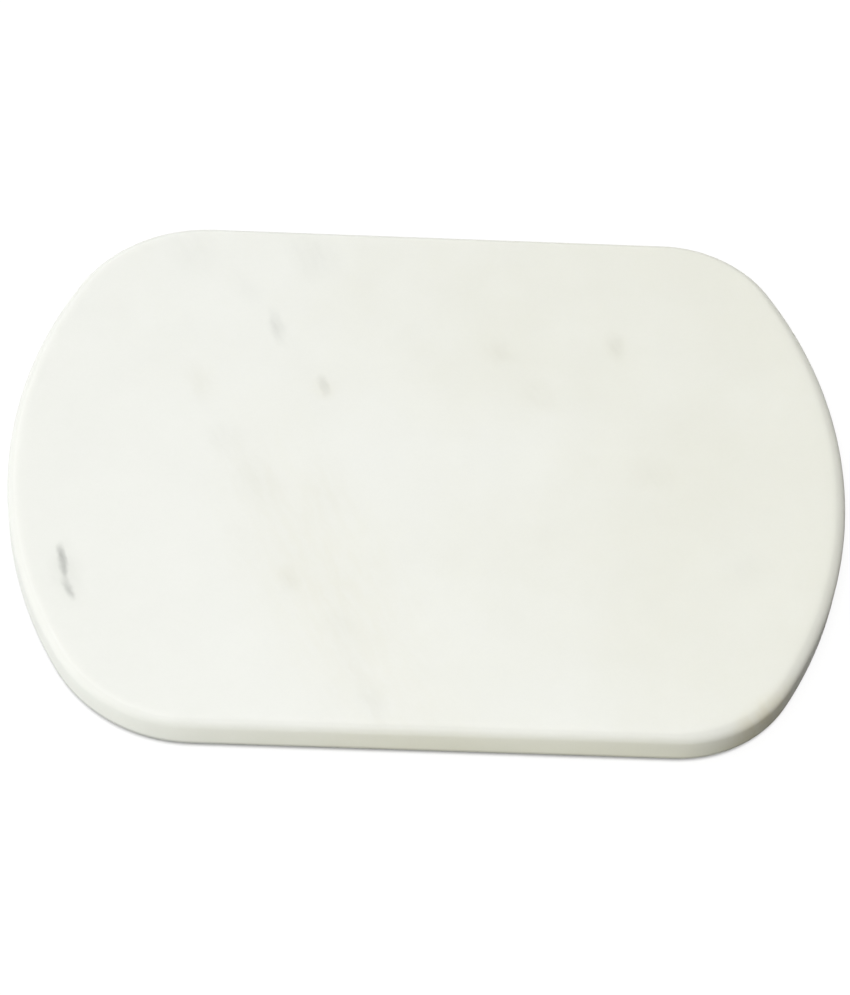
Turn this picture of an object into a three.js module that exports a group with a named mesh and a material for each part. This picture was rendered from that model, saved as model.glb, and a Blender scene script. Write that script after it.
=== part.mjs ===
// Marble chopping board: a polished stone slab with bulged ends, standing on four stick-on rubber feet.
// Millimetres, +Z up, front towards -Y. The origin lies on the table, under the middle of the board.
import * as THREE from "three";

// Slab, seen from above. The two ends were cut and ground by hand, so they differ a little.
const BOARD_LENGTH = 356; // along X, between the crowns of the end arcs
const BOARD_WIDTH = 254; // along Y, between the straight sides
const LEFT_END_BULGE = 49.4; // from the line through the end's two unrounded corners to its crown
const RIGHT_END_BULGE = 47.3;
const LEFT_CORNER_RADIUS = 65.5;
const RIGHT_CORNER_RADIUS = 54.5;

// Slab, in section. An arris is the eased edge between a face and the rim.
const SLAB_THICKNESS = 16;
const TOP_ARRIS_RADIUS = 4;
const BOTTOM_ARRIS_RADIUS = 1.5;

// Feet: each is a moulded rubber stud on a die-cut disc of double-sided adhesive.
const FOOT_HEIGHT = 2.2;
const FOOT_BASE_DIAMETER = 12.7; // against the adhesive
const FOOT_SOLE_DIAMETER = 10.4; // at the table, before its edge is rounded
const FOOT_BASE_LAND = 0.5; // upright wall beside the adhesive, above the tapered side
const FOOT_SOLE_EDGE_RADIUS = 0.6;
const FOOT_INSET = 30; // from the outline's rounded corner in to the middle of a foot
const ADHESIVE_MARGIN = 0.35; // the disc is cut this much smaller than the foot's base, all round
const ADHESIVE_THICKNESS = 0.4;

// How finely curves are cut into straight steps
const CROWN_STEPS = 24;
const CORNER_STEPS = 12;
const ARRIS_STEPS = 5;
const SOLE_EDGE_STEPS = 4;
const FOOT_SIDES = 32;

const QUARTER_TURN = Math.PI / 2;

const marble = new THREE.MeshStandardMaterial({ color: 0xeff0e8, roughness: 0.35, metalness: 0 });
const rubber = new THREE.MeshStandardMaterial({ color: 0x30302e, roughness: 0.85, metalness: 0 });
const adhesive = new THREE.MeshStandardMaterial({ color: 0xd9d5c8, roughness: 0.6, metalness: 0 });

// One end of the outline, drawn towards +X: the crown arc, and a corner arc tangent to it and to the side.
function endOf(bulge, cornerRadius) {
  const halfWidth = BOARD_WIDTH / 2;
  const crownRadius = (halfWidth ** 2 + bulge ** 2) / (2 * bulge);
  const crownX = BOARD_LENGTH / 2 - crownRadius;
  const cornerY = halfWidth - cornerRadius;
  const reach = Math.sqrt((crownRadius - cornerRadius) ** 2 - cornerY ** 2);
  return {
    crownRadius,
    crownX,
    cornerRadius,
    cornerX: crownX + reach,
    cornerY,
    meetAngle: Math.atan2(cornerY, reach),
  };
}

const leftEnd = endOf(LEFT_END_BULGE, LEFT_CORNER_RADIUS);
const rightEnd = endOf(RIGHT_END_BULGE, RIGHT_CORNER_RADIUS);

// The points of one end, from the front side round to the rear side, drawn in from the outline by an inset.
function endPoints(end, inset) {
  const { crownRadius, crownX, cornerRadius, cornerX, cornerY, meetAngle } = end;
  const corner = cornerRadius - inset;
  const front = new THREE.ArcCurve(cornerX, -cornerY, corner, -QUARTER_TURN, -meetAngle);
  const crown = new THREE.ArcCurve(crownX, 0, crownRadius - inset, -meetAngle, meetAngle);
  const rear = new THREE.ArcCurve(cornerX, cornerY, corner, meetAngle, QUARTER_TURN);
  return [
    ...front.getPoints(CORNER_STEPS),
    ...crown.getPoints(CROWN_STEPS).slice(1, -1),
    ...rear.getPoints(CORNER_STEPS),
  ];
}

// The whole outline, anticlockwise from the front right corner.
// The left end is drawn towards +X like the right one, and then turned half round.
function outline(inset) {
  const left = endPoints(leftEnd, inset).map((point) => point.negate());
  return [...endPoints(rightEnd, inset), ...left];
}

// The slab's section as insets and heights, from the underside up round both arrises to the top.
function slabSection() {
  const turns = Array.from({ length: ARRIS_STEPS + 1 }, (_, k) => (k / ARRIS_STEPS) * QUARTER_TURN);
  const bottom = turns.map((turn) => ({
    inset: BOTTOM_ARRIS_RADIUS * (1 - Math.sin(turn)),
    height: BOTTOM_ARRIS_RADIUS * (1 - Math.cos(turn)),
  }));
  const top = turns.map((turn) => ({
    inset: TOP_ARRIS_RADIUS * (1 - Math.cos(turn)),
    height: SLAB_THICKNESS - TOP_ARRIS_RADIUS * (1 - Math.sin(turn)),
  }));
  return [...bottom, ...top];
}

// A closed solid through level rings of equally many points, given from the bottom up.
function loft(rings) {
  const count = rings[0].points.length;
  const positions = rings.flatMap(({ points, height }) => points.flatMap((p) => [p.x, p.y, height]));
  const index = [];
  for (let low = 0; low < (rings.length - 1) * count; low += count) {
    for (let i = 0; i < count; i++) {
      const a = low + i;
      const b = low + ((i + 1) % count);
      index.push(a, b, b + count, a, b + count, a + count);
    }
  }
  const last = (rings.length - 1) * count;
  for (const [a, b, c] of THREE.ShapeUtils.triangulateShape(rings.at(-1).points, [])) {
    index.push(c, b, a, last + a, last + b, last + c);
  }
  const geometry = new THREE.BufferGeometry();
  geometry.setAttribute("position", new THREE.Float32BufferAttribute(positions, 3));
  geometry.setIndex(index);
  geometry.computeVertexNormals();
  return geometry;
}

function slab() {
  const rings = slabSection().map(({ inset, height }) => ({ points: outline(inset), height }));
  const mesh = new THREE.Mesh(loft(rings), marble);
  mesh.name = "marble_slab";
  mesh.position.z = FOOT_HEIGHT + ADHESIVE_THICKNESS;
  return mesh;
}

// The stud's half section, from mid sole out round its edge, up the taper and back to the axis.
function studProfile() {
  const baseRadius = FOOT_BASE_DIAMETER / 2;
  const soleRadius = FOOT_SOLE_DIAMETER / 2;
  const taperTop = FOOT_HEIGHT - FOOT_BASE_LAND;
  const edgeTurn = Math.atan2(taperTop, baseRadius - soleRadius);
  const soleFlat = soleRadius - FOOT_SOLE_EDGE_RADIUS * Math.tan(edgeTurn / 2);
  const edge = new THREE.ArcCurve(
    soleFlat,
    FOOT_SOLE_EDGE_RADIUS,
    FOOT_SOLE_EDGE_RADIUS,
    -QUARTER_TURN,
    edgeTurn - QUARTER_TURN,
  );
  return [
    new THREE.Vector2(0, 0),
    ...edge.getPoints(SOLE_EDGE_STEPS),
    new THREE.Vector2(baseRadius, taperTop),
    new THREE.Vector2(baseRadius, FOOT_HEIGHT),
    new THREE.Vector2(0, FOOT_HEIGHT),
  ];
}

// A lathe and a cylinder stand along Y in three.js, so both are turned to stand along Z.
const studGeometry = new THREE.LatheGeometry(studProfile(), FOOT_SIDES).rotateX(QUARTER_TURN);
const discRadius = FOOT_BASE_DIAMETER / 2 - ADHESIVE_MARGIN;
const discGeometry = new THREE.CylinderGeometry(
  discRadius,
  discRadius,
  ADHESIVE_THICKNESS,
  FOOT_SIDES,
).rotateX(QUARTER_TURN);

// A rubber stud with its adhesive disc, stuck face to face to the slab's underside.
function foot(name, x, y) {
  const stud = new THREE.Mesh(studGeometry, rubber);
  stud.name = `${name}_foot`;
  const disc = new THREE.Mesh(discGeometry, adhesive);
  disc.name = `${name}_adhesive_disc`;
  disc.position.z = FOOT_HEIGHT + ADHESIVE_THICKNESS / 2;
  const group = new THREE.Group();
  group.position.set(x, y, 0);
  group.add(stud, disc);
  return group;
}

// The two feet of one end lie inside its corners, on the line that halves each corner arc.
function endFeet(side, end, towards) {
  const middle = (end.meetAngle + QUARTER_TURN) / 2;
  const fromCentre = end.cornerRadius - FOOT_INSET;
  const x = towards * (end.cornerX + fromCentre * Math.cos(middle));
  const y = end.cornerY + fromCentre * Math.sin(middle);
  return [foot(`front_${side}`, x, -y), foot(`rear_${side}`, x, y)];
}

const board = new THREE.Group();
board.name = "marble_chopping_board";
board.add(slab(), ...endFeet("left", leftEnd, -1), ...endFeet("right", rightEnd, 1));

export default board;
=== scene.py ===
import math

import bpy
from mathutils import Matrix, Vector


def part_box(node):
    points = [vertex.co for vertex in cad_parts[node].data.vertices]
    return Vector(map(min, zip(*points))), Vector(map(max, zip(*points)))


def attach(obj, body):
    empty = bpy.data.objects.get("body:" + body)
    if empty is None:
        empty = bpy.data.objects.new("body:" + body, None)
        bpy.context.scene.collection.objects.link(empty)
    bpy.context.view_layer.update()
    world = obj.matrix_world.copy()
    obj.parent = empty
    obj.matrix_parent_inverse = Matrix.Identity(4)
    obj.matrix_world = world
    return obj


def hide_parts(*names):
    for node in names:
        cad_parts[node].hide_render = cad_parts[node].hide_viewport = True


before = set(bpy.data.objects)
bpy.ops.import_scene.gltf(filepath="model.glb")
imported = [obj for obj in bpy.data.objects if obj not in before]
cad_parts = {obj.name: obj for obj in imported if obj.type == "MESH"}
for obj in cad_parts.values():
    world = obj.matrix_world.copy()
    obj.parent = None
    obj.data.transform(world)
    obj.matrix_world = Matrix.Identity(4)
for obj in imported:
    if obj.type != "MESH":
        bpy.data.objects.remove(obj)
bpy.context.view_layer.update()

# Marble slab
# One piece of white marble, cut to an outline of two straight sides and two bulged ends with rounded corners.
# The rim is ground and both its arrises are eased by hand. The top is polished, the underside left as sawn.
MM = 0.001
slab_low, slab_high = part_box("marble_slab")
LEFT_END_BULGE = 49.4 * MM
RIGHT_END_BULGE = 47.3 * MM
LEFT_CORNER_RADIUS = 65.5 * MM
RIGHT_CORNER_RADIUS = 54.5 * MM
TOP_ARRIS_RADIUS = 4 * MM
BOTTOM_ARRIS_RADIUS = 1.5 * MM
ARRIS_SPREAD = 0.6  # the share by which the arrises widen towards the right front
SPREAD_AZIMUTH = math.radians(-28)
SPREAD_START = math.radians(75)
SPREAD_FULL = math.radians(35)
FLAT_BORDER = 6 * MM  # from the outline in to the last ring of each face
OUTLINE_DIRECTIONS = 722
OUTLINE_POINTS = 480
ARRIS_STEPS = 6
WELD_DISTANCE = 0.002 * MM


class Value:
    """A socket of a node tree. Arithmetic on it adds Math nodes, and node() adds any other kind of node."""

    def __init__(self, tree, socket=None):
        self.tree = tree
        self.socket = socket

    def fill(self, made, sockets):
        for key, value in sockets.items():
            if isinstance(value, Value):
                self.tree.links.new(value.socket, made.inputs[key])
            else:
                made.inputs[key].default_value = value

    def node(self, kind, settings, sockets, output=0):
        made = self.tree.nodes.new(kind)
        for name, setting in settings.items():
            setattr(made, name, setting)
        self.fill(made, sockets)
        return Value(self.tree, made.outputs[output])

    def end(self, kind, sockets):
        self.fill(self.tree.nodes.new(kind), sockets)

    def output(self, name):
        return Value(self.tree, self.socket.node.outputs[name])

    def math(self, operation, *values):
        return self.node("ShaderNodeMath", {"operation": operation}, dict(enumerate((self, *values))))

    def xyz(self):
        x = self.node("ShaderNodeSeparateXYZ", {}, {"Vector": self})
        return x, x.output("Y"), x.output("Z")

    def __add__(self, value):
        return self.math("ADD", value)

    def __sub__(self, value):
        return self.math("SUBTRACT", value)

    def __rsub__(self, value):
        return self.math("MULTIPLY_ADD", -1, value)

    def __mul__(self, value):
        return self.math("MULTIPLY", value)

    def __truediv__(self, value):
        return self.math("DIVIDE", value)

    __radd__ = __add__
    __rmul__ = __mul__


def ramp(value, start, end, low=0.0, high=1.0):
    """A smooth step from low to high, while the value goes from start to end."""
    sockets = {"Value": value, "From Min": start, "From Max": end, "To Min": low, "To Max": high}
    return value.node("ShaderNodeMapRange", {"interpolation_type": "SMOOTHSTEP"}, sockets)


def shape_tree(name, sizes):
    """A Geometry Nodes tree with an input for each size: its handle, the host's geometry and the inputs."""
    tree = bpy.data.node_groups.new(name, "GeometryNodeTree")
    tree.interface.new_socket("Geometry", in_out="OUTPUT", socket_type="NodeSocketGeometry")
    tree.interface.new_socket("Geometry", in_out="INPUT", socket_type="NodeSocketGeometry")
    for size in sizes:
        tree.interface.new_socket(size, in_out="INPUT", socket_type="NodeSocketFloat")
    group = tree.nodes.new("NodeGroupInput")
    inputs = {size: Value(tree, group.outputs[size]) for size in sizes}
    return Value(tree), Value(tree, group.outputs[0]), inputs


def section(shape, corners):
    """A curve of insets and heights from the bottom up, with each corner rounded to its own radius."""

    def by_index(kind, values):
        switch = shape.node("GeometryNodeIndexSwitch", {"data_type": kind}, {})
        items = switch.socket.node.index_switch_items
        while len(items) < len(values):
            items.new()
        index = shape.node("GeometryNodeInputIndex", {}, {})
        shape.fill(switch.socket.node, dict(enumerate([index, *values])))
        return switch

    places = [
        shape.node("ShaderNodeCombineXYZ", {}, {"X": inset, "Y": height}) for inset, height, _ in corners
    ]
    line = shape.node("GeometryNodeMeshLine", {}, {"Count": len(corners)})
    placed = {"Geometry": line, "Position": by_index("VECTOR", places)}
    line = shape.node("GeometryNodeSetPosition", {}, placed)
    curve = shape.node("GeometryNodeMeshToCurve", {}, {"Mesh": line})
    radii = by_index("FLOAT", [radius for _, _, radius in corners])
    return shape.node(
        "GeometryNodeFilletCurve",
        {"mode": "POLY"},
        {"Curve": curve, "Count": ARRIS_STEPS, "Radius": radii, "Limit Radius": True},
    )


def loft(shape, outline, outward, profile):
    """A closed solid: the profile carried round the outline, and its two ends drawn in to the middle."""

    def points_of(curve):
        return curve.node("GeometryNodeAttributeDomainSize", {"component": "CURVE"}, {"Geometry": curve})

    def sampled(curve, field, index):
        settings = {"data_type": "FLOAT_VECTOR", "domain": "POINT", "clamp": True}
        sockets = {"Geometry": curve, "Value": field, "Index": index}
        return curve.node("GeometryNodeSampleIndex", settings, sockets)

    # A column of the grid is a point of the outline, and a row a point of the profile
    columns = points_of(outline)
    rows = points_of(profile) + 1
    grid = {"Size X": columns, "Size Y": rows, "Vertices X": columns + 1, "Vertices Y": rows + 1}
    mesh = shape.node("GeometryNodeMeshGrid", {}, grid)
    position = shape.node("GeometryNodeInputPosition", {}, {})
    across, up, _ = position.xyz()
    column = (across + columns / 2).math("ROUND").math("MODULO", columns)
    row = (up + rows / 2).math("ROUND")

    # The first and the last row lie beyond the profile, and go to the middle
    on_profile = row.math("COMPARE", rows / 2, rows / 2 - 0.5)
    x, y, z = sampled(outline, position, column).xyz()
    outward_x, outward_y, _ = sampled(outline, outward, column).xyz()
    inset, height, _ = sampled(profile, position, row - 1).xyz()
    place = {
        "X": (x - outward_x * inset) * on_profile,
        "Y": (y - outward_y * inset) * on_profile,
        "Z": z + height,
    }
    place = shape.node("ShaderNodeCombineXYZ", {}, place)
    solid = shape.node("GeometryNodeSetPosition", {}, {"Geometry": mesh, "Position": place})
    solid = shape.node("GeometryNodeMergeByDistance", {}, {"Geometry": solid, "Distance": WELD_DISTANCE})
    return shape.node("GeometryNodeSetShadeSmooth", {}, {"Geometry": solid, "Shade Smooth": True})


def make_piece(name, shape, geometry, material, sizes, seats=()):
    """Ends a tree in real geometry, runs it on a host that holds only the seats, and keeps a plain mesh."""
    real = shape.node("GeometryNodeRealizeInstances", {}, {"Geometry": geometry})
    real = shape.node("GeometryNodeSetMaterial", {}, {"Geometry": real, "Material": material})
    shape.end("NodeGroupOutput", {0: real})
    host = bpy.data.meshes.new(name)
    host.from_pydata(list(seats), [], [])
    piece = bpy.data.objects.new(name, host)
    bpy.context.scene.collection.objects.link(piece)
    modifier = piece.modifiers.new(shape.tree.name, "NODES")
    modifier.node_group = shape.tree
    for item in shape.tree.interface.items_tree:
        if item.in_out == "INPUT" and item.name in sizes:
            modifier[item.identifier] = sizes[item.name]
    evaluated = piece.evaluated_get(bpy.context.evaluated_depsgraph_get())
    piece.data = bpy.data.meshes.new_from_object(evaluated)
    piece.modifiers.remove(modifier)
    return piece


slab_sizes = {
    "Length": slab_high.x - slab_low.x,
    "Width": slab_high.y - slab_low.y,
    "Thickness": slab_high.z - slab_low.z,
    "Underside": slab_low.z,
    "Left end bulge": LEFT_END_BULGE,
    "Right end bulge": RIGHT_END_BULGE,
    "Left corner radius": LEFT_CORNER_RADIUS,
    "Right corner radius": RIGHT_CORNER_RADIUS,
    "Top arris radius": TOP_ARRIS_RADIUS,
    "Bottom arris radius": BOTTOM_ARRIS_RADIUS,
    "Arris spread": ARRIS_SPREAD,
}
shape, _, size = shape_tree("Slab shape", slab_sizes)

# Each outward direction has one point of the outline: the centre of its arc plus the arc's radius that way
direction = shape.node("GeometryNodeInputPosition", {}, {})
east, north, _ = direction.xyz()
is_right = east.math("GREATER_THAN", 0)


def of_its_end(name):
    """A size of the end that the direction points to."""
    left = size[f"Left {name}"]
    return left + (size[f"Right {name}"] - left) * is_right


bulge = of_its_end("end bulge")
corner_radius = of_its_end("corner radius")
half_width = size["Width"] / 2
crown_radius = (half_width * half_width + bulge * bulge) / (2 * bulge)
crown_x = size["Length"] / 2 - crown_radius
corner_y = half_width - corner_radius
between_centres = crown_radius - corner_radius
corner_reach = (between_centres * between_centres - corner_y * corner_y).math("SQRT")
on_crown = north.math("ABSOLUTE").math("LESS_THAN", corner_y / between_centres)
arc_radius = corner_radius + between_centres * on_crown
arc_x = (crown_x + corner_reach * (1 - on_crown)) * east.math("SIGN")
arc_y = corner_y * (1 - on_crown) * north.math("SIGN")
outline_point = {"X": arc_x + arc_radius * east, "Y": arc_y + arc_radius * north, "Z": size["Underside"]}
outline_point = shape.node("ShaderNodeCombineXYZ", {}, outline_point)
outline = shape.node("GeometryNodeMeshCircle", {}, {"Vertices": OUTLINE_DIRECTIONS, "Radius": 1.0})

# The arrises are eased wider towards the right front, where the outward arrow is longer than 1
facing = east * math.cos(SPREAD_AZIMUTH) + north * math.sin(SPREAD_AZIMUTH)
spread = 1 + size["Arris spread"] * ramp(facing, math.cos(SPREAD_START), math.cos(SPREAD_FULL))
arrow = shape.node("ShaderNodeVectorMath", {"operation": "SCALE"}, {0: direction, "Scale": spread})
outline = shape.node(
    "GeometryNodeStoreNamedAttribute",
    {"data_type": "FLOAT_VECTOR", "domain": "POINT"},
    {"Geometry": outline, "Name": "outward", "Value": arrow},
)
outline = shape.node("GeometryNodeSetPosition", {}, {"Geometry": outline, "Position": outline_point})
outline = shape.node("GeometryNodeMeshToCurve", {}, {"Mesh": outline})
evened = {"Curve": outline, "Count": OUTLINE_POINTS}
outline = shape.node("GeometryNodeResampleCurve", {"mode": "COUNT"}, evened)
outward = shape.node("GeometryNodeInputNamedAttribute", {"data_type": "FLOAT_VECTOR"}, {"Name": "outward"})
slab_corners = [
    (FLAT_BORDER, 0.0, 0.0),
    (0.0, 0.0, size["Bottom arris radius"]),
    (0.0, size["Thickness"], size["Top arris radius"]),
    (FLAT_BORDER, size["Thickness"], 0.0),
]
marble = bpy.data.materials.new("White marble")
slab_solid = loft(shape, outline, outward, section(shape, slab_corners))
slab = make_piece("polished_slab", shape, slab_solid, marble, slab_sizes)
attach(slab, "root")
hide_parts("marble_slab")

# The stone: white, turning cream towards the rear right, with faint clouds and a fine grain.
# Lenses of grey mineral and of ochre stain dip through it, and are streaked with wisps along one heading; the
# ochre lens at the right front corner is partly painted shade.
# Painted shade: the rim and underside are toned a little darker than the polished top, and the rim darker
# still towards its lower arris, near the table.
WHITE_STONE = (0.848, 0.858, 0.823, 1)
CREAM_STONE = (0.796, 0.800, 0.737, 1)
GREY_MINERAL = (0.30, 0.31, 0.295, 1)
STAIN_AND_SHADE_OCHRE = (0.68, 0.64, 0.47, 1)
CREAM_TURN = math.radians(24)
CREAM_START = -100 * MM
CREAM_END = 190 * MM
NOISE_MIDDLE = 0.5
CLOUD_WAVE = 70 * MM
CLOUD_DETAIL = 4
FINE_CLOUD_WAVE = CLOUD_WAVE / 3
FINE_CLOUD_DETAIL = 3
FINE_CLOUD_DEPTH = 0.035
GRAIN_SIZE = 0.9 * MM
GRAIN_DEPTH = 0.008
WANDER_WAVE = 9 * MM
WANDER_DETAIL = 3
WANDER = 5 * MM
WISP_LENGTH = 14 * MM
WISP_WIDTH = 3 * MM
WISP_DETAIL = 3
WISP_GAP = 0.35
WISP_CORE = 0.65
WISP_THIN = 0.75
WISP_THICK = 1.2
VEIN_HEADING = math.radians(-65)
VEIN_DIP = math.radians(20)
VEIN_DEPTH = 45 * MM
# Each lens, in millimetres and degrees: its middle along and across the board, its heading, its half length,
# its half width, and the share of mineral at its middle. A total above 1 counts as 1
GREY_VEINS = (
    (-151.9, -50.5, -76, 11.5, 2.4, 0.57),
    (-148.9, -64, -70, 7.5, 2.7, 0.36),
    (-150, -56, -75, 22, 9, 0.085),
    (-105, 113, -60, 24, 15, 0.035),
    (-80, 93, -58, 16, 9, 0.035),
    (-66.5, 74, -74, 13, 4.6, 0.165),
    (-57, 60, -57, 22, 8, 0.02),
    (-51, 113, -60, 22, 15, 0.055),
    (-45.5, 43, -80, 7.5, 3.2, 0.20),
    (-99, 42, -80, 16, 8, 0.03),
    (-87, 13.5, -55, 15, 11, 0.045),
    (-72, -8, -65, 24, 14, 0.035),
    (-42, -11, -85, 22, 14, 0.02),
    (-58, -56, -75, 9, 5.5, 0.045),
    (-36, -79, -60, 14, 9, 0.03),
    (-30, -96, -63, 18, 9, 0.02),
    (-22, -114, -70, 18, 8, 0.045),
    (30, 64.5, -70, 12, 9, 0.04),
    (47.5, 42, -60, 13, 10, 0.035),
    (81, 69.5, -80, 11, 5.5, 0.085),
    (95, 3, -10, 16, 11, 0.03),
    (131, -42, -60, 18, 15, 0.025),
)
OCHRE_STAINS_AND_CORNER_SHADE = (
    (-38, -62, -65, 130, 50, 0.12),
    (-98, 43, -75, 16, 10, 0.05),
    (-71, -8, -65, 24, 15, 0.03),
    (-45.5, 42, 0, 9, 8, 0.10),
    (-43, -12, -80, 24, 15, 0.03),
    (-58, -55, -75, 10, 7, 0.07),
    (30, 64, 0, 12, 9, 0.05),
    (48, 42, -60, 14, 11, 0.05),
    (81, 69, -80, 12, 8, 0.06),
    (96, 3, 0, 18, 12, 0.04),
    # Partly painted shade: this ochre lens tints the right front corner and also darkens its rim
    (151, -120, 45, 50, 22, 1.2),
)
# Painted shade: how much darker the rim and underside are than the top, and how far below the top that begins
RIM_SHADE_TONE = 0.94
RIM_SHADE_EDGE = 0.5 * MM
# Painted shade: the rim darkens towards its lower arris, near the table
LOWER_SHADE_TONE = 0.58
LOWER_SHADE_FULL = 0.8 * MM
LOWER_SHADE_END = 3.2 * MM
UNDERSIDE_EDGE = 0.4 * MM
# The colour sockets of a Mix node, by number because its sockets for other types have the same names
MIX_SHARE = 0
MIX_FIRST = 6
MIX_SECOND = 7
MIX_RESULT = 2


def noise(where, wave, detail, output="Fac"):
    sockets = {"Vector": where, "Scale": 1 / wave, "Detail": detail}
    return where.node("ShaderNodeTexNoise", {}, sockets, output)


def mapped(where, place, turn, scale):
    """The place as seen from a frame that is moved, turned and sized to suit a pattern."""
    sockets = {"Vector": where, "Location": place, "Rotation": turn, "Scale": scale}
    return where.node("ShaderNodeMapping", {"vector_type": "TEXTURE"}, sockets)


def mixed(share, first, second):
    sockets = {MIX_SHARE: share, MIX_FIRST: first, MIX_SECOND: second}
    return share.node("ShaderNodeMix", {"data_type": "RGBA"}, sockets, MIX_RESULT)


def toned(colour, tone):
    """A colour times a tone, where 1 leaves it as it is."""
    grey = tone.node("ShaderNodeCombineColor", {}, {"Red": tone, "Green": tone, "Blue": tone})
    sockets = {MIX_SHARE: 1.0, MIX_FIRST: colour, MIX_SECOND: grey}
    return tone.node("ShaderNodeMix", {"data_type": "RGBA", "blend_type": "MULTIPLY"}, sockets, MIX_RESULT)


def start_material(material):
    """The material's place on the piece, which every pattern reads."""
    material.use_nodes = True
    return Value(material.node_tree).node("ShaderNodeTexCoord", {}, {}, "Object")


def finish_material(material, sockets):
    Value(material.node_tree).fill(material.node_tree.nodes["Principled BSDF"], sockets)


place = start_material(marble)
height = place.xyz()[2]
wander = noise(place, WANDER_WAVE, WANDER_DETAIL, "Color")
wander = place.node("ShaderNodeVectorMath", {"operation": "SUBTRACT"}, {0: wander, 1: (NOISE_MIDDLE,) * 3})
wandered = {0: wander, 1: (WANDER, WANDER, WANDER), 2: place}
wandered = place.node("ShaderNodeVectorMath", {"operation": "MULTIPLY_ADD"}, wandered)
wisp_size = (WISP_LENGTH, WISP_WIDTH, WISP_LENGTH)
wisp_place = mapped(wandered, (0, 0, 0), (VEIN_DIP, 0, VEIN_HEADING), wisp_size)
wisps = ramp(noise(wisp_place, 1, WISP_DETAIL), WISP_GAP, WISP_CORE, WISP_THIN, WISP_THICK)


def lenses(mineral):
    """The share of a mineral: its soft-edged lenses added up, and streaked with wisps."""
    total = 0.0
    for x, y, heading, half_length, half_width, share in mineral:
        lens_middle = (x * MM, y * MM, slab_high.z)
        lens_turn = (VEIN_DIP, 0, math.radians(heading))
        lens_size = (half_length * MM, half_width * MM, VEIN_DEPTH)
        lens = mapped(wandered, lens_middle, lens_turn, lens_size)
        lens = lens.node("ShaderNodeVectorMath", {"operation": "LENGTH"}, {0: lens}, "Value")
        total = ramp(lens, 0, 1, share, 0) + total
    return (total * wisps).math("MINIMUM", 1.0)


rearward = mapped(place, (0, 0, 0), (0, 0, CREAM_TURN), (1, 1, 1)).xyz()[0]
clouds = noise(place, CLOUD_WAVE, CLOUD_DETAIL) - NOISE_MIDDLE
cream = ramp(rearward + clouds * (CREAM_END - CREAM_START), CREAM_START, CREAM_END)
colour = mixed(cream, WHITE_STONE, CREAM_STONE)
fine_clouds = noise(place, FINE_CLOUD_WAVE, FINE_CLOUD_DETAIL) - NOISE_MIDDLE
grain = place.node("ShaderNodeTexVoronoi", {}, {"Vector": place, "Scale": 1 / GRAIN_SIZE}, "Color").xyz()[0]
grain = grain - NOISE_MIDDLE
colour = toned(colour, 1 + fine_clouds * FINE_CLOUD_DEPTH + grain * GRAIN_DEPTH)
colour = mixed(lenses(OCHRE_STAINS_AND_CORNER_SHADE), colour, STAIN_AND_SHADE_OCHRE)
colour = mixed(lenses(GREY_VEINS), colour, GREY_MINERAL)
# Painted shade: everything below the top's edge is toned a little darker
colour = toned(colour, ramp(height, slab_high.z - RIM_SHADE_EDGE, slab_high.z, RIM_SHADE_TONE, 1))
# Painted shade: the rim grows darker towards its lower arris, and the sawn underside is spared it
sawn = ramp(height, slab_low.z + UNDERSIDE_EDGE, slab_low.z)
lower_shade = ramp(height, slab_low.z + LOWER_SHADE_FULL, slab_low.z + LOWER_SHADE_END, LOWER_SHADE_TONE, 1)
colour = toned(colour, lower_shade + sawn * (1 - LOWER_SHADE_TONE))

# The finish: polished on top, honed on the rim, and curved saw marks on the underside.
# Light soaks a little way into the stone, which softens its edges.
POLISHED_ROUGHNESS = 0.35
HONED_ROUGHNESS = 0.5
SAWN_ROUGHNESS = 0.7
SAW_CENTRE = (-260 * MM, -420 * MM, 0)
SAW_PITCH = 2.6 * MM
SAW_DEPTH = 0.06 * MM
SAW_WOBBLE = 2.0
SAW_WOBBLE_DETAIL = 3.0
WAVE_TURN = 20  # radians that the Wave texture goes through in one unit of length, at a scale of 1
STONE_IOR = 1.5
STONE_GLOSS = 0.15
SOAK_SHARE = 0.8
SOAK_COLOUR = (1.0, 1.0, 1.0)
SOAK_DEPTH = 2.7 * MM
polished = ramp(height, slab_high.z - TOP_ARRIS_RADIUS, slab_high.z, HONED_ROUGHNESS, POLISHED_ROUGHNESS)
roughness = polished + sawn * (SAWN_ROUGHNESS - HONED_ROUGHNESS)
saw_marks = place.node(
    "ShaderNodeTexWave",
    {"wave_type": "RINGS", "rings_direction": "Z"},
    {
        "Vector": mapped(place, SAW_CENTRE, (0, 0, 0), (1, 1, 1)),
        "Scale": 2 * math.pi / (WAVE_TURN * SAW_PITCH),
        "Distortion": SAW_WOBBLE,
        "Detail": SAW_WOBBLE_DETAIL,
    },
    "Fac",
)
relief = place.node("ShaderNodeBump", {}, {"Height": saw_marks * sawn, "Distance": SAW_DEPTH})
finish_material(
    marble,
    {
        "Base Color": colour,
        "Roughness": roughness,
        "Normal": relief,
        "IOR": STONE_IOR,
        "Specular IOR Level": STONE_GLOSS,
        "Subsurface Weight": SOAK_SHARE,
        "Subsurface Radius": SOAK_COLOUR,
        "Subsurface Scale": SOAK_DEPTH,
    },
)

# Adhesive discs
# Each foot is held by a disc of double-sided foam tape, off-white, about half a millimetre thick.
# The discs are die-cut a little smaller than the feet and pressed onto the sawn underside.
SEATS = ("front_left", "front_right", "rear_left", "rear_right")
DISC_EDGE_RADIUS = 0.08 * MM
DISC_FLAT = 2 * MM
ROUND_SIDES = 64
disc_boxes = [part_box(f"{seat}_adhesive_disc") for seat in SEATS]
disc_low, disc_high = disc_boxes[0]
disc_sizes = {
    "Radius": (disc_high.x - disc_low.x) / 2,
    "Thickness": disc_high.z - disc_low.z,
    "Edge radius": DISC_EDGE_RADIUS,
}


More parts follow.
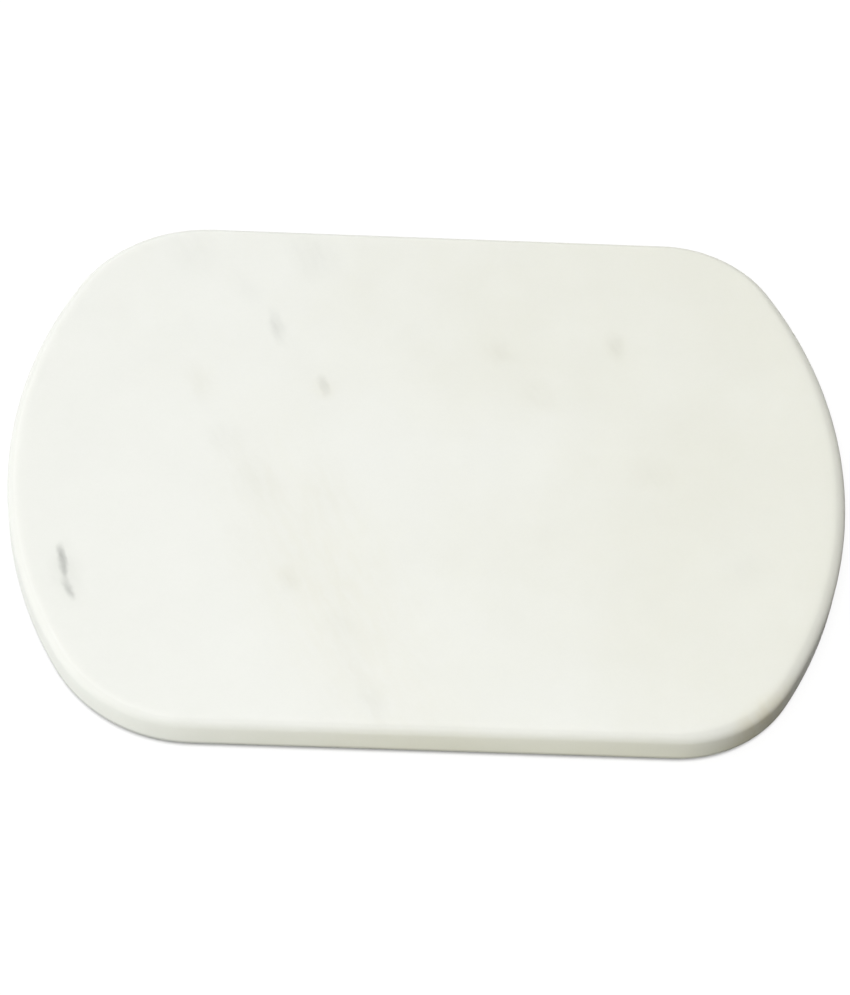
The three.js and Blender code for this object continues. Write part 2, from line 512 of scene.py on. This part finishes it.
def seats_of(boxes):
    """The middle of each box's lower face."""
    return [((low.x + high.x) / 2, (low.y + high.y) / 2, low.z) for low, high in boxes]


def turned_solid(shape, radius, corners):
    """A round solid on the Z axis, from a section whose insets are measured in from the radius."""
    sockets = {"Resolution": ROUND_SIDES, "Radius": radius}
    circle = shape.node("GeometryNodeCurvePrimitiveCircle", {}, sockets, "Curve")
    position = shape.node("GeometryNodeInputPosition", {}, {})
    outward = shape.node("ShaderNodeVectorMath", {"operation": "NORMALIZE"}, {0: position})
    return loft(shape, circle, outward, section(shape, corners))


shape, seats, size = shape_tree("Adhesive disc shape", disc_sizes)
disc_corners = [
    (DISC_FLAT, 0.0, 0.0),
    (0.0, 0.0, size["Edge radius"]),
    (0.0, size["Thickness"], size["Edge radius"]),
    (DISC_FLAT, size["Thickness"], 0.0),
]
disc = turned_solid(shape, size["Radius"], disc_corners)
discs_on_seats = shape.node("GeometryNodeInstanceOnPoints", {}, {"Points": seats, "Instance": disc})
foam_tape = bpy.data.materials.new("Foam tape")
discs = make_piece("adhesive_discs", shape, discs_on_seats, foam_tape, disc_sizes, seats_of(disc_boxes))
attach(discs, "root")
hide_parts(*[f"{seat}_adhesive_disc" for seat in SEATS])

# The foam: off-white with fine cells on its cut edge
FOAM_LIGHT = (0.72, 0.69, 0.61, 1)
FOAM_DARK = (0.58, 0.55, 0.47, 1)
FOAM_CELL = 0.12 * MM
FOAM_CELL_HEART = 0.1
FOAM_CELL_WALL = 0.7
FOAM_RELIEF = 0.2 * FOAM_CELL
FOAM_ROUGHNESS = 0.6
place = start_material(foam_tape)
cells = place.node("ShaderNodeTexVoronoi", {}, {"Vector": place, "Scale": 1 / FOAM_CELL}, "Distance")
finish_material(
    foam_tape,
    {
        "Base Color": mixed(ramp(cells, FOAM_CELL_HEART, FOAM_CELL_WALL), FOAM_DARK, FOAM_LIGHT),
        "Roughness": FOAM_ROUGHNESS,
        "Normal": place.node("ShaderNodeBump", {}, {"Height": cells, "Distance": FOAM_RELIEF}),
    },
)

# Rubber feet
# Four moulded studs of dark grey rubber, tapered towards the table, with a shallow dimple in the sole.
# Their broad ends stick to the adhesive discs, and the soles keep the board from sliding.
FOOT_BASE_LAND = 0.5 * MM
FOOT_SOLE_RADIUS = 5.2 * MM
FOOT_SOLE_EDGE_RADIUS = 0.6 * MM
FOOT_BASE_EDGE_RADIUS = 0.15 * MM
DIMPLE_RADIUS = 2.6 * MM
DIMPLE_FLOOR_RADIUS = 1.8 * MM
DIMPLE_DEPTH = 0.4 * MM
DIMPLE_EDGE_RADIUS = 0.3 * MM
foot_boxes = [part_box(f"{seat}_foot") for seat in SEATS]
foot_low, foot_high = foot_boxes[0]
foot_sizes = {
    "Base radius": (foot_high.x - foot_low.x) / 2,
    "Height": foot_high.z - foot_low.z,
    "Sole radius": FOOT_SOLE_RADIUS,
    "Base land": FOOT_BASE_LAND,
}
shape, seats, size = shape_tree("Foot shape", foot_sizes)
foot_corners = [
    (size["Base radius"] - DIMPLE_FLOOR_RADIUS, DIMPLE_DEPTH, 0.0),
    (size["Base radius"] - DIMPLE_RADIUS, 0.0, DIMPLE_EDGE_RADIUS),
    (size["Base radius"] - size["Sole radius"], 0.0, FOOT_SOLE_EDGE_RADIUS),
    (0.0, size["Height"] - size["Base land"], FOOT_BASE_EDGE_RADIUS),
    (0.0, size["Height"], FOOT_BASE_EDGE_RADIUS),
    (size["Base radius"] - size["Sole radius"], size["Height"], 0.0),
]
stud = turned_solid(shape, size["Base radius"], foot_corners)
studs_on_seats = shape.node("GeometryNodeInstanceOnPoints", {}, {"Points": seats, "Instance": stud})
dark_rubber = bpy.data.materials.new("Dark rubber")
feet = make_piece("rubber_feet", shape, studs_on_seats, dark_rubber, foot_sizes, seats_of(foot_boxes))
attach(feet, "root")
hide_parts(*[f"{seat}_foot" for seat in SEATS])

# The rubber: matt and finely pitted by the mould, with pale dust on the sole
RUBBER_DARK = (0.022, 0.022, 0.021, 1)
RUBBER_DUSTY = (0.075, 0.073, 0.068, 1)
RUBBER_PIT = 0.25 * MM
PIT_DETAIL = 4
PIT_DEPTH = 0.2 * RUBBER_PIT
PIT_FLOOR = 0.3
PIT_BRIM = 0.7
SMOOTHEST_RUBBER = 0.7
ROUGHEST_RUBBER = 0.9
DUST_HEIGHT = 0.9 * MM
DUST_WAVE = 2 * MM
DUST_DETAIL = 3
place = start_material(dark_rubber)
height = place.xyz()[2]
pits = noise(place, RUBBER_PIT, PIT_DETAIL)
dust_edge = (noise(place, DUST_WAVE, DUST_DETAIL) - NOISE_MIDDLE) * DUST_HEIGHT
dust = ramp(height + dust_edge, DUST_HEIGHT, 0)
finish_material(
    dark_rubber,
    {
        "Base Color": mixed(dust, RUBBER_DARK, RUBBER_DUSTY),
        "Roughness": ramp(pits, PIT_FLOOR, PIT_BRIM, SMOOTHEST_RUBBER, ROUGHEST_RUBBER),
        "Normal": place.node("ShaderNodeBump", {}, {"Height": pits, "Distance": PIT_DEPTH}),
    },
)

# Floor
# A plain pale sheet under the board, white to the camera, which keeps the board's shadow and contact line.
# Light that bounces off it is bright at the left, warmer in the middle and faint past the board's right end.
FLOOR_SIZE = 6.0
FLOOR_GLOW = 0.86
FLOOR_WHITE = (0.18, 0.18, 0.18, 1)
COOL_BOUNCE = (0.925, 0.945, 0.925, 1)
WARM_BOUNCE = (0.70, 0.69, 0.53, 1)
FAINT_BOUNCE = (0.034, 0.027, 0.01, 1)
BOUNCE_TURN = math.radians(-15)
WARM_START = -140 * MM
WARM_END = 50 * MM
FAINT_START = 128 * MM
FAINT_END = 188 * MM
CONTACT_REACH = 10 * MM
CONTACT_DARK = 0.22
CONTACT_CLEAR = 0.52
half_floor = FLOOR_SIZE / 2
floor_corners = [(x * half_floor, y * half_floor, 0) for x, y in ((-1, -1), (1, -1), (1, 1), (-1, 1))]
floor_mesh = bpy.data.meshes.new("floor")
floor_mesh.from_pydata(floor_corners, [], [(0, 1, 2, 3)])
floor = bpy.data.objects.new("floor", floor_mesh)
bpy.context.scene.collection.objects.link(floor)


def seen_directly(tree):
    """1 on the way to the camera, straight or through a reflection or glass, and 0 on a diffuse bounce."""
    camera_ray = Value(tree).node("ShaderNodeLightPath", {}, {}, "Is Camera Ray")
    glossy_ray = camera_ray.output("Is Glossy Ray")
    transmission_ray = camera_ray.output("Is Transmission Ray")
    return camera_ray.math("MAXIMUM", glossy_ray).math("MAXIMUM", transmission_ray)


paper = bpy.data.materials.new("Floor paper")
paper.use_nodes = True
paper.node_tree.nodes.clear()
seen = seen_directly(paper.node_tree)
openness = seen.node("ShaderNodeAmbientOcclusion", {}, {"Distance": CONTACT_REACH}, "AO")
glow = seen.node("ShaderNodeEmission", {}, {"Color": (1, 1, 1, 1), "Strength": FLOOR_GLOW})
shaded = seen.node("ShaderNodeBsdfDiffuse", {}, {"Color": FLOOR_WHITE})
clear = seen.node("ShaderNodeAddShader", {}, {0: shaded, 1: glow})
shown = {0: ramp(openness, CONTACT_DARK, CONTACT_CLEAR), 1: shaded, 2: clear}
shown = seen.node("ShaderNodeMixShader", {}, shown)
place = seen.node("ShaderNodeTexCoord", {}, {}, "Object")
rightward = mapped(place, (0, 0, 0), (0, 0, BOUNCE_TURN), (1, 1, 1)).xyz()[0]
warmth = ramp(rightward, WARM_START, WARM_END)
faintness = ramp(rightward, FAINT_START, FAINT_END)
cool, warm, faint = [
    seen.node("ShaderNodeBsdfDiffuse", {}, {"Color": colour})
    for colour in (COOL_BOUNCE, WARM_BOUNCE, FAINT_BOUNCE)
]
bounce = seen.node("ShaderNodeMixShader", {}, {0: warmth, 1: cool, 2: warm})
bounce = seen.node("ShaderNodeMixShader", {}, {0: faintness, 1: bounce, 2: faint})
paper_surface = seen.node("ShaderNodeMixShader", {}, {0: seen, 1: bounce, 2: shown})
seen.end("ShaderNodeOutputMaterial", {"Surface": paper_surface})
floor_mesh.materials.append(paper)

# Light
# One large soft lamp, high in front of the board, and a wide even surround that the camera sees as white.
# The surround is dim at the front right, with a faint warm glow, so the rim is dark on that side.
KEY_AZIMUTH = math.radians(-99)
KEY_ELEVATION = math.radians(60)
KEY_DISTANCE = 6.0
KEY_SIZE = 3.6
KEY_LEVEL = 0.656  # sets the lamp's light on the board, whatever its distance
SURROUND_LEVEL = 0.945
SURROUND_COLOUR = (1.0, 0.998, 0.985, 1)
DIM_COLOUR = (0.03, 0.025, 0.01, 1)
DARK_AZIMUTH = math.radians(-44)
DARK_ELEVATION = math.radians(12)
DARK_EDGE = math.radians(98)
DARK_CORE = math.radians(51)


def towards(azimuth, elevation):
    """A direction in the surround, with azimuth 0 at the right end and a quarter turn at the rear."""
    along = math.cos(elevation)
    return Vector((math.cos(azimuth) * along, math.sin(azimuth) * along, math.sin(elevation)))


key_way = towards(KEY_AZIMUTH, KEY_ELEVATION)
key_data = bpy.data.lights.new("key", "AREA")
key_data.shape = "DISK"
key_data.size = KEY_SIZE
key_data.energy = KEY_LEVEL * math.pi**2 * KEY_DISTANCE**2
key = bpy.data.objects.new("key", key_data)
key.location = key_way * KEY_DISTANCE
key.rotation_mode = "QUATERNION"
key.rotation_quaternion = key_way.to_track_quat("Z", "Y")
bpy.context.scene.collection.objects.link(key)
world = bpy.data.worlds.new("surround")
world.use_nodes = True
world.node_tree.nodes.clear()
seen = seen_directly(world.node_tree)
way = seen.node("ShaderNodeTexCoord", {}, {}, "Generated")
dark_way = towards(DARK_AZIMUTH, DARK_ELEVATION)
darkness = way.node("ShaderNodeVectorMath", {"operation": "DOT_PRODUCT"}, {0: way, 1: dark_way}, "Value")
darkness = ramp(darkness, math.cos(DARK_EDGE), math.cos(DARK_CORE))
white = seen.node("ShaderNodeBackground", {}, {"Color": (1, 1, 1, 1)})
soft = seen.node("ShaderNodeBackground", {}, {"Color": SURROUND_COLOUR, "Strength": SURROUND_LEVEL})
dim = seen.node("ShaderNodeBackground", {}, {"Color": DIM_COLOUR})
surround = seen.node("ShaderNodeMixShader", {}, {0: darkness, 1: soft, 2: dim})
sky = seen.node("ShaderNodeMixShader", {}, {0: seen, 1: surround, 2: white})
seen.end("ShaderNodeOutputWorld", {"Surface": sky})
bpy.context.scene.world = world

# Camera
# A long lens in front of the board, 56 degrees above the table and held a little askew.
# Its angles and distance come from a fit of the slab's outline to the photograph.
CAMERA_AZIMUTH = math.radians(-3.88)
CAMERA_ELEVATION = math.radians(56.41)
CAMERA_ROLL = math.radians(5.22)
CAMERA_DISTANCE = 1.7094
CAMERA_AIM = Vector((-0.7 * MM, -2.0 * MM, slab_low.z))
SENSOR_WIDTH = 36  # spans the longer side of the picture, its height
IMAGE_HEIGHT = 995
FOCAL_PIXELS = 4000
camera_data = bpy.data.cameras.new("camera")
camera_data.sensor_width = SENSOR_WIDTH
camera_data.lens = SENSOR_WIDTH * FOCAL_PIXELS / IMAGE_HEIGHT
camera = bpy.data.objects.new("camera", camera_data)
bpy.context.scene.collection.objects.link(camera)
back = Vector(
    (
        math.sin(CAMERA_AZIMUTH) * math.cos(CAMERA_ELEVATION),
        -math.cos(CAMERA_AZIMUTH) * math.cos(CAMERA_ELEVATION),
        math.sin(CAMERA_ELEVATION),
    )
)
level = Vector((math.cos(CAMERA_AZIMUTH), math.sin(CAMERA_AZIMUTH), 0))
right = level * math.cos(CAMERA_ROLL) + back.cross(level) * math.sin(CAMERA_ROLL)
turn = Matrix((right, back.cross(right), back)).transposed().to_4x4()
camera.matrix_world = Matrix.Translation(CAMERA_AIM + back * CAMERA_DISTANCE) @ turn
bpy.context.scene.camera = camera
bpy.context.scene.view_settings.view_transform = "Standard"
